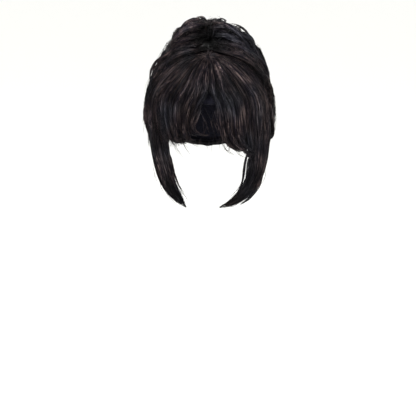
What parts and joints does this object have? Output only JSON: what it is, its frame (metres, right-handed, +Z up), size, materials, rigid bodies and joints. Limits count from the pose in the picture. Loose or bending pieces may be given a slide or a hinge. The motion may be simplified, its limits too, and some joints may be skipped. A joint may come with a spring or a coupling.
{
  "type": "costume wig",
  "caption": "Dark synthetic costume wig: an elastic cap with hair swept up into a loose bun, a fringe parted in the middle and long locks in front of the ears.",
  "frame": {"origin": "inside of the cap's crown, where the top of the head sits", "axes": "+Z up, -Y the way the face looks, +X towards the wearer's left ear"},
  "size_m": [0.1861, 0.2143, 0.2616],
  "materials": {
    "hair": "synthetic fibre strands, near-black brown, satin",
    "cap_net": "dark elastic net with a folded hem, matt"
  },
  "bodies": {
    "root": {"wig_cap": "cap_net", "swept_hair": "hair", "bun": "hair", "fringe_right": "hair", "fringe_left": "hair", "long_lock_right": "hair", "long_lock_left": "hair"}
  },
  "joints": []
}
